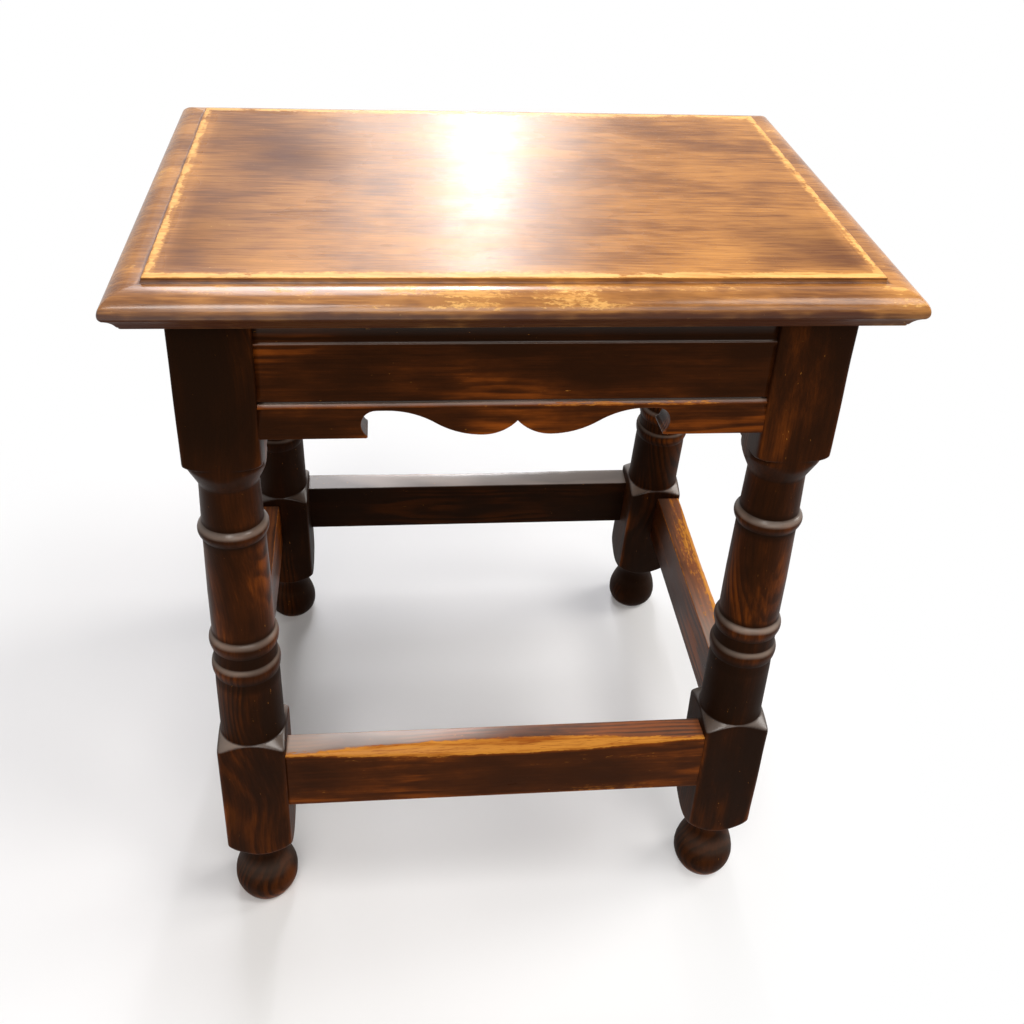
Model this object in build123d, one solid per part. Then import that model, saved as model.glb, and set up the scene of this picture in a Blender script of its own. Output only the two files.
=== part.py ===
from build123d import *
import os
from math import cos, radians, sin, sqrt, tan

# Joint stool in stained oak: a moulded top on four turned legs, raked to front and back,
# which four shaped rails and four low stretchers hold together by mortise and tenon.
# Millimetres. X runs along the seat, Y to the back, Z up from the floor between the feet.

# ---- Seat ----
SEAT_HEIGHT = 517.5             # floor to the seat
TOP_LENGTH = 457.0              # over the noses, left to right
TOP_DEPTH = 320.5               # over the noses, front to back
TOP_THICKNESS = 24.5
SIDE_OVERHANG = 30.0            # nose past the legs' outer faces, left and right
FRONT_OVERHANG = 21.2           # nose past the legs' faces at the underside, front and back

# Edge moulding of the top: heights are above its underside, insets are in from the nose.
FIELD_INSET = 20.9              # raised field
FIELD_RISE = 3.0                # upright fillet round the raised field
THUMB_WIDTH = 14.0              # thumb moulding, from the nose to where it is level
THUMB_NOSE_RADIUS = 8.0         # its tight curve at the nose, which a flatter one joins
NOSE_HEIGHT = 11.2              # foremost line of the edge
NOSE_ROUND = 3.0                # small round that turns the nose under
NOSE_RETURN = 1.2               # inset where that round ends
UNDER_INSET = 8.3               # edge of the underside
UNDER_FILLET = 1.6              # upright fillet above the underside
HOLLOW_INSET = 7.4              # where the hollow under the nose starts
HOLLOW_DEPTH = 0.7              # sag of that hollow

# ---- Legs ----
LEG_SQUARE = 47.5
LEG_RAKE = 4.8                  # degrees, outwards to front and back
LEG_ARRIS = 1.0                 # eased corners of the square blocks
# Turned profile: heights run up the leg's axis from the floor, radii from the axis.
FOOT_RADIUS = 22.8
FOOT_BULGE_HEIGHT = 14.5        # widest line of the foot
FOOT_BASE_RADIUS = 18.2         # at the floor
FOOT_BASE_LEAN = 0.58           # how fast the foot widens there, radius by height
FOOT_WAIST = (19.0, 31.0)       # radius and height on the foot's upper half
NECK_HEIGHT = 41.0              # where the foot meets the neck's hollow
NECK_FOOT_RADIUS = 15.4
NECK_RADIUS = 14.9              # thinnest point of the neck
NECK_TOP_RADIUS = 17.0
LOWER_BLOCK_BOTTOM = 52.0
LOWER_BLOCK_EDGE = 57.3         # where the turning meets the middle of each face
LOWER_BLOCK_SQUARE = 69.0       # from here up the block is fully square
LOWER_BLOCK_CORNER = 160.5      # where the square corners end at the block's top
SHOULDER_TOP = 168.5            # foot of the column
COLUMN_FOOT_RADIUS = 22.8
BELOW_LOW_RINGS_RADIUS = 22.0
LOW_RING_HEIGHT = 229.3
MID_RING_HEIGHT = 251.5
HIGH_RING_HEIGHT = 340.5
BETWEEN_RINGS_RADIUS = 21.5
ABOVE_MID_RING_RADIUS = 21.0
BELOW_HIGH_RING_RADIUS = 20.0
ABOVE_HIGH_RING_RADIUS = 19.6
COLUMN_TOP_RADIUS = 18.8
COLUMN_TOP = 374.5              # where the flare under the top block starts
LOW_RING_RADIUS = 23.5
MID_RING_RADIUS = 23.5
HIGH_RING_RADIUS = 22.6
RING_WIDTH = 12.0               # of each of the two low rings
HIGH_RING_WIDTH = 10.5
FLARE_TOP = 389.8
FLARE_RADIUS = 26.0             # at its top, where the faces of the block have cut it
UPPER_FILLET = 3.6              # upright fillet above the flare, at the block's corners

# ---- Rails ----
RAIL_DEPTH = 80.8
RAIL_THICKNESS = 21.0
RAIL_SETBACK = 1.6              # apron strip, behind the legs' outer faces
APRON_HEIGHT = 23.0             # strip along the rail's lower edge
APRON_BEVEL = 2.2               # its bevelled upper corner
APRON_RELIEF = 1.2              # how far the strip stands proud of the rail's field
QUIRK_HEIGHT = 1.5              # groove between strip and field
QUIRK_DEPTH = 1.4               # behind the field
FRIEZE_HEIGHT = 19.3            # plain band along the rail's upper edge
FRIEZE_RELIEF = 1.0             # how far the field stands proud of it
# Shaped lower edge of a rail: heights above its bottom.
CUSP_HEIGHT = 10.8
LOBE_HEIGHT = 1.4
ARCH_HEIGHT = 18.4
SCOOP_HEIGHT = 9.2              # where the hollow end of each bracket is deepest
# Distances of these from the rail's middle, on the long rails and on the short ones.
LONG_SHAPE = {"lobe": 20.5, "arch": 78.0, "scoop": 93.0, "tip": 89.3}
SHORT_SHAPE = {"lobe": 14.0, "arch": 51.0, "scoop": 63.2, "tip": 59.5}

# ---- Stretchers ----
STRETCHER_BOTTOM = 107.0
STRETCHER_HEIGHT = 50.0
STRETCHER_THICKNESS = 20.5
STRETCHER_SETBACK = 1.5
STRETCHER_ARRIS = 0.8
# Feet have worn the outer top corners: how deep, square to the corner, at mid length.
FRONT_WEAR = 4.3
SIDE_WEAR = 2.8
BACK_WEAR = 1.6
WEAR_END_MARGIN = 6.0           # unworn length beside each leg

# ---- Joints ----
TENON_THICKNESS = 9.0
TENON_OFFSET = 7.5              # outer cheek of a tenon, behind the legs' outer face
TENON_SPACE = 3.0               # wood between two tenons that meet in a leg
RAIL_TENON_SHOULDER = 7.0       # below the tenon
RAIL_HAUNCH = 16.0              # between the tenon and the top of the leg
STRETCHER_TENON_SHOULDER = 5.0  # above and below the tenon
MORTISE_CLEARANCE = 0.1         # on each cheek and edge
MORTISE_END_SPACE = 1.0         # past a tenon's end

# ---- Screws that hold the top, in pockets inside the rails ----
SCREW_LENGTH = 32.0
SCREW_RADIUS = 2.1
SCREW_HEAD_RADIUS = 3.9
SCREW_HEAD_FLAT = 2.2           # radius of the head's flat end
SCREW_HEAD_HEIGHT = 2.8
SLOT_WIDTH = 1.1
SLOT_DEPTH = 1.2
SCREW_SEAT = 14.0               # wood between the head and the rail's top
SCREW_LEAN = 18.0               # degrees from upright
SCREW_HOLE_CLEARANCE = 0.2      # in the rail, on the radius
SCREW_THREAD_CLEARANCE = 0.05   # in the top, on the radius
POCKET_RADIUS = 5.5
POCKET_LENGTH = 50.0
LONG_RAIL_SCREW_REACH = 90.0    # from the middle of a long rail

# ---- Places worked out from these ----
FRAME_TOP = SEAT_HEIGHT - TOP_THICKNESS
HALF_LEG = LEG_SQUARE / 2
RAKE = radians(LEG_RAKE)
LEG_X = TOP_LENGTH / 2 - SIDE_OVERHANG - HALF_LEG
LEG_TOP_Y = TOP_DEPTH / 2 - FRONT_OVERHANG - HALF_LEG / cos(RAKE)
FOOT_Y = LEG_TOP_Y + FRAME_TOP * tan(RAKE)
SQUARE_CORNER = HALF_LEG * sqrt(2)
TENON_LENGTH = LEG_SQUARE - TENON_OFFSET - TENON_THICKNESS - TENON_SPACE
LONG_SPAN = 2 * (LEG_X - HALF_LEG)
RAIL_BOTTOM = FRAME_TOP - RAIL_DEPTH
RAIL_BACK = RAIL_SETBACK + RAIL_THICKNESS
BEYOND = 20.0                   # how far cutting solids reach past what they cut
BELOW_FLOOR = 5.0               # how far the turning runs on, before the feet are cut level

# The front legs, rail and stretcher lie in one leaning frame: its X is the stool's,
# its Y goes inwards from the legs' axes, its Z runs up the legs.
LEANING = Plane(origin=(0, -FOOT_Y, 0), x_dir=(1, 0, 0), z_dir=(0, sin(RAKE), cos(RAKE)))


def block(x_range, y_range, z_range):
    """A box between two corners."""
    lows = Vector(x_range[0], y_range[0], z_range[0])
    highs = Vector(x_range[1], y_range[1], z_range[1])
    size = highs - lows
    return Pos(lows) * Box(size.X, size.Y, size.Z, align=(Align.MIN, Align.MIN, Align.MIN))


def inner_face_y(height):
    """Y of the front legs' inner faces at a height above the floor."""
    return -FOOT_Y + height * tan(RAKE) + HALF_LEG / cos(RAKE)


def between_legs(low, high, reach=0.0):
    """Slab between the raked inner faces of front and back legs, `reach` into each leg."""
    into = reach / cos(RAKE)
    corners = [
        (inner_face_y(low) - into, low),
        (-inner_face_y(low) + into, low),
        (-inner_face_y(high) + into, high),
        (inner_face_y(high) - into, high),
    ]
    face = make_face(Polyline(*corners, close=True))
    return extrude(Plane.YZ * face, TOP_LENGTH, both=True)


# ---------------------------------------------------------------- top board

def thumb_join(foremost, crown):
    """Point where the thumb's tight curve, upright at the nose, meets the flat one, level at the crown."""
    tight = Vector(foremost) - Vector(THUMB_NOSE_RADIUS, 0)
    across = tight.X - crown[0]
    height = crown[1] - tight.Y
    flat_radius = (across ** 2 + height ** 2 - THUMB_NOSE_RADIUS ** 2) / (2 * (height - THUMB_NOSE_RADIUS))
    flat = Vector(crown) - Vector(0, flat_radius)
    return tight + (tight - flat).normalized() * THUMB_NOSE_RADIUS


def edge_outline(half_width):
    """Half of the top's section, from the middle of its underside to the middle of the seat."""
    nose = half_width
    level = TOP_THICKNESS - FIELD_RISE
    nose_bottom = NOSE_HEIGHT - NOSE_ROUND
    hollow_start = (nose - HOLLOW_INSET, UNDER_FILLET)
    hollow_end = (nose - NOSE_RETURN, nose_bottom)
    run = HOLLOW_INSET - NOSE_RETURN
    rise = nose_bottom - UNDER_FILLET
    length = sqrt(run ** 2 + rise ** 2)
    hollow_middle = (
        (hollow_start[0] + hollow_end[0]) / 2 - HOLLOW_DEPTH * rise / length,
        (hollow_start[1] + hollow_end[1]) / 2 + HOLLOW_DEPTH * run / length,
    )
    foremost = (nose, NOSE_HEIGHT)
    crown = (nose - THUMB_WIDTH, level)
    join = thumb_join(foremost, crown)
    return [
        Polyline((0, 0), (nose - UNDER_INSET, 0), (nose - UNDER_INSET, UNDER_FILLET), hollow_start),
        ThreePointArc(hollow_start, hollow_middle, hollow_end),
        TangentArc(foremost, hollow_end, tangent=(0, -1)),
        TangentArc(foremost, join, tangent=(0, 1)),
        TangentArc(crown, join, tangent=(1, 0)),
        Polyline(
            crown,
            (nose - FIELD_INSET, level),
            (nose - FIELD_INSET, TOP_THICKNESS),
            (0, TOP_THICKNESS),
        ),
    ]


def moulded_bar(half_width, half_length):
    """A bar along X with the edge moulding on both sides."""
    edges = edge_outline(half_width)
    half = make_face(edges + [Line((0, TOP_THICKNESS), (0, 0))])
    section = half + mirror(half, about=Plane.YZ)
    return extrude(Plane.YZ * section, half_length, both=True)


def screw_frame(x, y, inwards):
    """Plane on a screw's axis where it enters the top; `inwards` points to the stool's middle."""
    lean = radians(SCREW_LEAN)
    axis = Vector(0, 0, cos(lean)) - Vector(*inwards, 0) * sin(lean)
    return Plane(origin=(x, y, FRAME_TOP), z_dir=axis)


def screw_frames():
    """One frame for each screw: two in each long rail and one in each short rail."""
    front_middle = -HALF_LEG + RAIL_SETBACK + RAIL_THICKNESS / 2
    long_y = LEG_TOP_Y - front_middle / cos(RAKE)
    short_x = LEG_X + HALF_LEG - RAIL_SETBACK - RAIL_THICKNESS / 2
    frames = []
    for side in (-1, 1):
        for end in (-1, 1):
            frames.append(screw_frame(end * LONG_RAIL_SCREW_REACH, side * long_y, (0, -side)))
        frames.append(screw_frame(side * short_x, 0, (-side, 0)))
    return frames


def screw():
    """Old blunt wood screw with a tapered head, on Z; it enters the top at Z = 0."""
    seat = -SCREW_SEAT
    tip = seat + SCREW_LENGTH
    outline = Polyline(
        (0, seat - SCREW_HEAD_HEIGHT), (0, tip), (SCREW_RADIUS, tip), (SCREW_RADIUS, seat),
        (SCREW_HEAD_RADIUS, seat), (SCREW_HEAD_FLAT, seat - SCREW_HEAD_HEIGHT), close=True,
    )
    body = revolve(Plane.XZ * make_face(outline), Axis.Z)
    slot = block(
        (-SCREW_HEAD_RADIUS - 1, SCREW_HEAD_RADIUS + 1),
        (-SLOT_WIDTH / 2, SLOT_WIDTH / 2),
        (seat - SCREW_HEAD_HEIGHT - 1, seat - SCREW_HEAD_HEIGHT + SLOT_DEPTH),
    )
    return body - slot


def thread_holes():
    """Holes that the screws need in the top."""
    depth = SCREW_LENGTH - SCREW_SEAT + SCREW_THREAD_CLEARANCE
    hole = Pos(0, 0, -BEYOND) * Cylinder(
        SCREW_RADIUS + SCREW_THREAD_CLEARANCE, depth + BEYOND, align=(Align.CENTER, Align.CENTER, Align.MIN)
    )
    return [frame.location * hole for frame in screw_frames()]


def pockets():
    """Pockets and holes that the screws need in the rails."""
    hole = Pos(0, 0, -SCREW_SEAT - 1) * Cylinder(
        SCREW_RADIUS + SCREW_HOLE_CLEARANCE, SCREW_SEAT + 1 + BEYOND,
        align=(Align.CENTER, Align.CENTER, Align.MIN),
    )
    pocket = Pos(0, 0, -SCREW_SEAT) * Cylinder(
        POCKET_RADIUS, POCKET_LENGTH, align=(Align.CENTER, Align.CENTER, Align.MAX)
    )
    return [frame.location * (hole + pocket) for frame in screw_frames()]


def top_board():
    """Two crossing moulded bars share only what lies in both, which mitres the corners."""
    long_bar = moulded_bar(TOP_DEPTH / 2, TOP_LENGTH)
    short_bar = Rot(0, 0, 90) * moulded_bar(TOP_LENGTH / 2, TOP_LENGTH)
    board = Pos(0, 0, FRAME_TOP) * (long_bar & short_bar)
    return board - thread_holes()


# ---------------------------------------------------------------- legs

def ring(height, width, radius, below, above):
    """Half-round ring on the column, between the column's radii below and above it."""
    return ThreePointArc((below, height - width / 2), (radius, height), (above, height + width / 2))


def turned_outline():
    """Outline of the turning, from the foot up to where the top block is fully square."""
    corner = SQUARE_CORNER + 1
    stock_top = FRAME_TOP + 2 * BEYOND
    foot_low = -BELOW_FLOOR
    foot = Spline(
        (FOOT_BASE_RADIUS - BELOW_FLOOR * FOOT_BASE_LEAN, foot_low),
        (FOOT_BASE_RADIUS, 0),
        (FOOT_RADIUS, FOOT_BULGE_HEIGHT),
        FOOT_WAIST,
        (NECK_FOOT_RADIUS, NECK_HEIGHT),
    )
    neck = ThreePointArc(
        foot @ 1,
        (NECK_RADIUS, (NECK_HEIGHT + LOWER_BLOCK_BOTTOM) / 2),
        (NECK_TOP_RADIUS, LOWER_BLOCK_BOTTOM),
    )
    lower_turning = ThreePointArc(
        neck @ 1, (HALF_LEG, LOWER_BLOCK_EDGE), (corner, LOWER_BLOCK_SQUARE)
    )
    square = Line(lower_turning @ 1, (corner, LOWER_BLOCK_CORNER))
    shoulder = Line(square @ 1, (COLUMN_FOOT_RADIUS, SHOULDER_TOP))
    low_ring = ring(
        LOW_RING_HEIGHT, RING_WIDTH, LOW_RING_RADIUS, BELOW_LOW_RINGS_RADIUS, BETWEEN_RINGS_RADIUS
    )
    mid_ring = ring(
        MID_RING_HEIGHT, RING_WIDTH, MID_RING_RADIUS, BETWEEN_RINGS_RADIUS, ABOVE_MID_RING_RADIUS
    )
    high_ring = ring(
        HIGH_RING_HEIGHT, HIGH_RING_WIDTH, HIGH_RING_RADIUS, BELOW_HIGH_RING_RADIUS, ABOVE_HIGH_RING_RADIUS
    )
    column_top = (COLUMN_TOP_RADIUS, COLUMN_TOP)
    flare_top = (FLARE_RADIUS, FLARE_TOP)
    fillet_top = (FLARE_RADIUS, FLARE_TOP + UPPER_FILLET)
    turned_in = corner - FLARE_RADIUS
    upper_turning = TangentArc(
        fillet_top, (corner, fillet_top[1] + turned_in), tangent=(1, 0)
    )
    return [
        Line((0, foot_low), foot @ 0),
        foot,
        neck,
        lower_turning,
        square,
        shoulder,
        Line(shoulder @ 1, low_ring @ 0),
        low_ring,
        Line(low_ring @ 1, mid_ring @ 0),
        mid_ring,
        Line(mid_ring @ 1, high_ring @ 0),
        high_ring,
        Polyline(high_ring @ 1, column_top, flare_top, fillet_top),
        upper_turning,
        Polyline(upper_turning @ 1, (corner, stock_top), (0, stock_top), (0, foot_low)),
    ]


def long_tenon(low, high, shoulder_low, shoulder_high, allowance=0.0, end_space=0.0):
    """Tenon of a long rail or stretcher in the right leg, in the leaning frame."""
    start = LEG_X - HALF_LEG
    return block(
        (start, start + TENON_LENGTH + end_space),
        (-HALF_LEG + TENON_OFFSET - allowance, -HALF_LEG + TENON_OFFSET + TENON_THICKNESS + allowance),
        (low + shoulder_low - allowance, high - shoulder_high + allowance),
    )


def short_tenons(low, high, shoulder_low, shoulder_high, allowance=0.0, end_space=0.0):
    """Both tenons of the right short rail or stretcher, as one bar through the stool's width."""
    outer = LEG_X + HALF_LEG - TENON_OFFSET
    bottom = low + shoulder_low - allowance
    top = high - shoulder_high + allowance
    cheeks = block(
        (outer - TENON_THICKNESS - allowance, outer + allowance),
        (-TOP_DEPTH, TOP_DEPTH),
        (bottom, top),
    )
    return cheeks & between_legs(bottom, top, TENON_LENGTH + end_space)


# How high each tier stands in the leaning frame and upright, with its tenon's shoulders.
LEANING_RAIL = (RAIL_BOTTOM / cos(RAKE), FRAME_TOP / cos(RAKE), RAIL_TENON_SHOULDER, RAIL_HAUNCH)
UPRIGHT_RAIL = (RAIL_BOTTOM, FRAME_TOP, RAIL_TENON_SHOULDER, RAIL_HAUNCH)
STRETCHER = (
    STRETCHER_BOTTOM, STRETCHER_BOTTOM + STRETCHER_HEIGHT, STRETCHER_TENON_SHOULDER, STRETCHER_TENON_SHOULDER
)


def front_right_leg():
    """Turning cut from square stock, leaned, cut level at both ends and mortised."""
    turning = revolve(Plane.XZ * make_face(turned_outline()), Axis.Z)
    stock = extrude(
        RectangleRounded(LEG_SQUARE, LEG_SQUARE, LEG_ARRIS), FRAME_TOP + 2 * BEYOND, both=True
    )
    leg = LEANING.location * Pos(LEG_X, 0, 0) * (turning & stock)
    level = block((0, TOP_LENGTH), (-TOP_DEPTH, TOP_DEPTH), (0, FRAME_TOP))
    leg = leg & level
    spaces = {"allowance": MORTISE_CLEARANCE, "end_space": MORTISE_END_SPACE}
    leg -= LEANING.location * long_tenon(*LEANING_RAIL, **spaces)
    leg -= LEANING.location * long_tenon(*STRETCHER, **spaces)
    leg -= short_tenons(*UPRIGHT_RAIL, **spaces)
    leg -= short_tenons(*STRETCHER, **spaces)
    return leg


# ---------------------------------------------------------------- rails

def rail_section(top):
    """Section of a rail: X is the depth behind the legs' outer faces, Y the height above its bottom."""
    strip = RAIL_SETBACK
    field = strip + APRON_RELIEF
    frieze = field + FRIEZE_RELIEF
    quirk = field + QUIRK_DEPTH
    line = RAIL_DEPTH - FRIEZE_HEIGHT
    return make_face(Polyline(
        (RAIL_BACK, 0),
        (strip, 0),
        (strip, APRON_HEIGHT - APRON_BEVEL),
        (field, APRON_HEIGHT),
        (quirk, APRON_HEIGHT),
        (quirk, APRON_HEIGHT + QUIRK_HEIGHT),
        (field, APRON_HEIGHT + QUIRK_HEIGHT),
        (field, line),
        (frieze, line),
        (frieze, top),
        (RAIL_BACK, top),
        close=True,
    ))


def shaped_opening(shape):
    """What is sawn out of a rail's lower edge: two ogees that meet in a cusp, between hooked brackets."""
    lobe = (shape["lobe"], LOBE_HEIGHT)
    arch = (shape["arch"], ARCH_HEIGHT)
    turn = ((lobe[0] + arch[0]) / 2, (lobe[1] + arch[1]) / 2)
    arch_end = (shape["scoop"] - (ARCH_HEIGHT - SCOOP_HEIGHT), ARCH_HEIGHT)
    scoop = (shape["scoop"], SCOOP_HEIGHT)
    tip = (shape["tip"], 0)
    half = make_face([
        Line((0, -BEYOND), (0, CUSP_HEIGHT)),
        TangentArc(lobe, (0, CUSP_HEIGHT), tangent=(-1, 0)),
        TangentArc(lobe, turn, tangent=(1, 0)),
        TangentArc(arch, turn, tangent=(-1, 0)),
        Line(arch, arch_end),
        TangentArc(arch_end, scoop, tangent=(1, 0)),
        TangentArc(scoop, tip, tangent=(0, -1)),
        Polyline(tip, (shape["tip"], -BEYOND), (0, -BEYOND)),
    ])
    return half + mirror(half, about=Plane.YZ)


def front_rail():
    """Long rail, in the leaning frame until it is cut level under the top."""
    low, high = LEANING_RAIL[:2]
    section = rail_section(RAIL_DEPTH + BEYOND)
    rail = extrude(Plane.YZ * Pos(-HALF_LEG, low) * section, LONG_SPAN / 2, both=True)
    sawn = extrude(Plane.XZ * Pos(0, low) * shaped_opening(LONG_SHAPE), LEG_SQUARE, both=True)
    rail -= sawn
    tenon = long_tenon(*LEANING_RAIL)
    rail = LEANING.location * (rail + tenon + mirror(tenon, about=Plane.YZ))
    rail = rail & block((-TOP_LENGTH, TOP_LENGTH), (-TOP_DEPTH, TOP_DEPTH), (0, FRAME_TOP))
    return rail - pockets()


def right_rail():
    """Short rail: upright, with its ends cut to the rake of the legs."""
    section = rail_section(RAIL_DEPTH)
    outer = LEG_X + HALF_LEG
    bar = extrude(Plane.XZ * mirror(section, about=Plane.YZ), TOP_DEPTH, both=True)
    rail = Pos(outer, 0, RAIL_BOTTOM) * bar
    rail = rail & between_legs(RAIL_BOTTOM, FRAME_TOP)
    sawn = extrude(Plane.YZ * Pos(0, RAIL_BOTTOM) * shaped_opening(SHORT_SHAPE), TOP_LENGTH)
    rail -= sawn
    return rail + short_tenons(*UPRIGHT_RAIL) - pockets()


# ---------------------------------------------------------------- stretchers

def worn_corner(span, depth):
    """Large roller along X that wears a corner at the origin, from below-left of it."""
    half_chord = span / 2 - WEAR_END_MARGIN
    radius = (half_chord ** 2 + depth ** 2) / (2 * depth)
    roller = Rot(90, 0, 0) * Cylinder(radius, STRETCHER_HEIGHT)
    return Rot(45, 0, 0) * Pos(0, 0, radius - depth) * roller


def front_stretcher(wear):
    """Long stretcher with tenons and a worn outer corner, in the leaning frame."""
    low, high = STRETCHER[:2]
    face = -HALF_LEG + STRETCHER_SETBACK
    body = block((-LONG_SPAN / 2, LONG_SPAN / 2), (face, face + STRETCHER_THICKNESS), (low, high))
    body = fillet(body.edges().filter_by(Axis.X), STRETCHER_ARRIS)
    body -= Pos(0, face, high) * worn_corner(LONG_SPAN, wear)
    tenon = long_tenon(*STRETCHER)
    return LEANING.location * (body + tenon + mirror(tenon, about=Plane.YZ))


def right_stretcher():
    """Short stretcher: upright, with its ends cut to the rake of the legs."""
    low, high = STRETCHER[:2]
    face = LEG_X + HALF_LEG - STRETCHER_SETBACK
    body = block((face - STRETCHER_THICKNESS, face), (-TOP_DEPTH, TOP_DEPTH), (low, high))
    body = fillet(body.edges().filter_by(Axis.Y), STRETCHER_ARRIS)
    body -= Pos(face, 0, high) * Rot(0, 0, 90) * worn_corner(-2 * inner_face_y(high), SIDE_WEAR)
    body = body & between_legs(low, high)
    return body + short_tenons(*STRETCHER)


# ---------------------------------------------------------------- assembly

def to_back(piece):
    return mirror(piece, about=Plane.XZ)


def to_left(piece):
    return mirror(piece, about=Plane.YZ)


leg = front_right_leg()
long_rail = front_rail()
short_rail = right_rail()
short_stretcher = right_stretcher()

nodes = {
    "top_board": top_board(),
    "leg_front_right": leg,
    "leg_front_left": to_left(leg),
    "leg_back_right": to_back(leg),
    "leg_back_left": to_back(to_left(leg)),
    "rail_front": long_rail,
    "rail_back": to_back(long_rail),
    "rail_right": short_rail,
    "rail_left": to_left(short_rail),
    "stretcher_front": front_stretcher(FRONT_WEAR),
    "stretcher_back": to_back(front_stretcher(BACK_WEAR)),
    "stretcher_right": short_stretcher,
    "stretcher_left": to_left(short_stretcher),
    "top_fixing_screws": Compound(children=[frame.location * screw() for frame in screw_frames()]),
}

os.makedirs("parts", exist_ok=True)
for name, piece in nodes.items():
    export_step(piece, f"parts/{name}.step")
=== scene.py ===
# %% [markdown]
# # A dark oak joint stool
#
# The stool is all oak: a moulded top on four turned legs, four rails with a shaped lower edge, and four stretchers
# near the floor. Generations of polish and boots have rounded its arrises and rubbed them back to bare wood.
# The plan is to load the measured solids as a fixed frame, and then to remodel each visible piece around it as a
# worn mesh. Each mesh carries four values at every point: where the point lies in its plank, its wear, which below 0
# darkens it with painted shade in hollows and a plain darkening elsewhere, how much polish it has, and how much dust
# and painted sheen lie on it. One oak material reads them all, so the grain runs along every piece and the rubbed
# edges follow the real shape.

# %% Load the measured model
from math import copysign, cos, degrees, exp, pi, radians, sin, sqrt, tan

import bpy
import bmesh
from mathutils import Matrix, Vector, noise


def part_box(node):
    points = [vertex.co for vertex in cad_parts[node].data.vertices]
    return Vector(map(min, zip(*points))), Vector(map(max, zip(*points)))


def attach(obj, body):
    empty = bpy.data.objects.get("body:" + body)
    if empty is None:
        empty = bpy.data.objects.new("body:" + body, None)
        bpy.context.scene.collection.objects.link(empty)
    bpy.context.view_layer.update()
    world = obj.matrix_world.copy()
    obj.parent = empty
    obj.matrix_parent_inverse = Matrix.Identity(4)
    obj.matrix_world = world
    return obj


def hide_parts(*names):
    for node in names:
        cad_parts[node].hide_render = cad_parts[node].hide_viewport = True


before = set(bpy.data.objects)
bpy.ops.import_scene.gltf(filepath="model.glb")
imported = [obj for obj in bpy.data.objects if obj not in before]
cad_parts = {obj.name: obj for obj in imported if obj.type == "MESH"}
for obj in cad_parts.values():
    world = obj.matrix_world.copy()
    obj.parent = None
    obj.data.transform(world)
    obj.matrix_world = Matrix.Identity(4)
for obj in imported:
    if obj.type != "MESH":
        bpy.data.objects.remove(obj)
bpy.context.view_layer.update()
print("nodes:", sorted(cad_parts))

# %% [markdown]
# ## The camera first
# A stool seen from a standing person's height: the lens looks down on the seat, a little from the left. The camera
# is leaned by a few degrees, as a hand-held one is. Its place and angles are set by numbers, not by a tracking
# constraint, because a constraint can't hold the lean.

# %% Set the camera
CAMERA_PLACE = Vector((-0.0786, -0.6827, 0.7884))
CAMERA_TURN = radians(6.94)  # to the right of straight ahead
CAMERA_DOWN = radians(34.84)
CAMERA_LEAN = radians(-3.13)
SENSOR_WIDTH = 36.0  # mm
LENS = 38.62  # mm
LENS_SHIFT = (0.0163, -0.0688)


def camera_axes():
    """Right, up and backward directions of the camera."""
    forward = Vector((
        sin(CAMERA_TURN) * cos(CAMERA_DOWN),
        cos(CAMERA_TURN) * cos(CAMERA_DOWN),
        -sin(CAMERA_DOWN),
    ))
    level = Vector((cos(CAMERA_TURN), -sin(CAMERA_TURN), 0.0))
    down = forward.cross(level)
    right = cos(CAMERA_LEAN) * level + sin(CAMERA_LEAN) * down
    up = sin(CAMERA_LEAN) * level - cos(CAMERA_LEAN) * down
    return right, up, -forward


def add_object(name, data):
    """A new object in the scene."""
    made = bpy.data.objects.new(name, data)
    bpy.context.scene.collection.objects.link(made)
    return made


camera_data = bpy.data.cameras.new("camera")
camera_data.sensor_width = SENSOR_WIDTH
camera_data.lens = LENS
camera_data.shift_x, camera_data.shift_y = LENS_SHIFT
camera = add_object("camera", camera_data)
camera.matrix_world = Matrix.Translation(CAMERA_PLACE) @ Matrix(camera_axes()).transposed().to_4x4()
bpy.context.scene.camera = camera
print("camera looks along", [round(-v, 3) for v in camera_axes()[2]])

# %% [markdown]
# ## A small language for shader maths
# Node graphs are easier to read as formulas. `Socket` wraps one output socket, so that adding or multiplying two
# of them adds the Math node that does it. `Shader` holds the nodes of one material or of the world, and makes every
# other node, with its settings first and its sockets after, because some settings change which sockets a node has.


# %% Wrap sockets and materials
class Socket:
    """One output of a node, with arithmetic."""

    def __init__(self, shader, socket):
        self.shader = shader
        self.socket = socket

    def _math(self, operation, *values, clamp=False):
        return self.shader.node("Math", {"operation": operation, "use_clamp": clamp}, *values)

    def __add__(self, other):
        return self._math("ADD", self, other)

    __radd__ = __add__

    def __sub__(self, other):
        return self._math("SUBTRACT", self, other)

    def __rsub__(self, other):
        return self._math("SUBTRACT", other, self)

    def __mul__(self, other):
        return self._math("MULTIPLY", self, other)

    __rmul__ = __mul__

    def __truediv__(self, other):
        return self._math("DIVIDE", self, other)

    def __pow__(self, power):
        return self._math("POWER", self, power)

    def fraction(self):
        return self._math("FRACT", self)

    def clamped(self):
        return self._math("ADD", self, 0.0, clamp=True)

    def at_least(self, other):
        return self._math("MAXIMUM", self, other)

    def between(self, low, high):
        """0 below low, 1 above high, and a smooth step between."""
        settings = {"interpolation_type": "SMOOTHSTEP"}
        return self.shader.node("MapRange", settings, Value=self, **{"From Min": low, "From Max": high})


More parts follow.
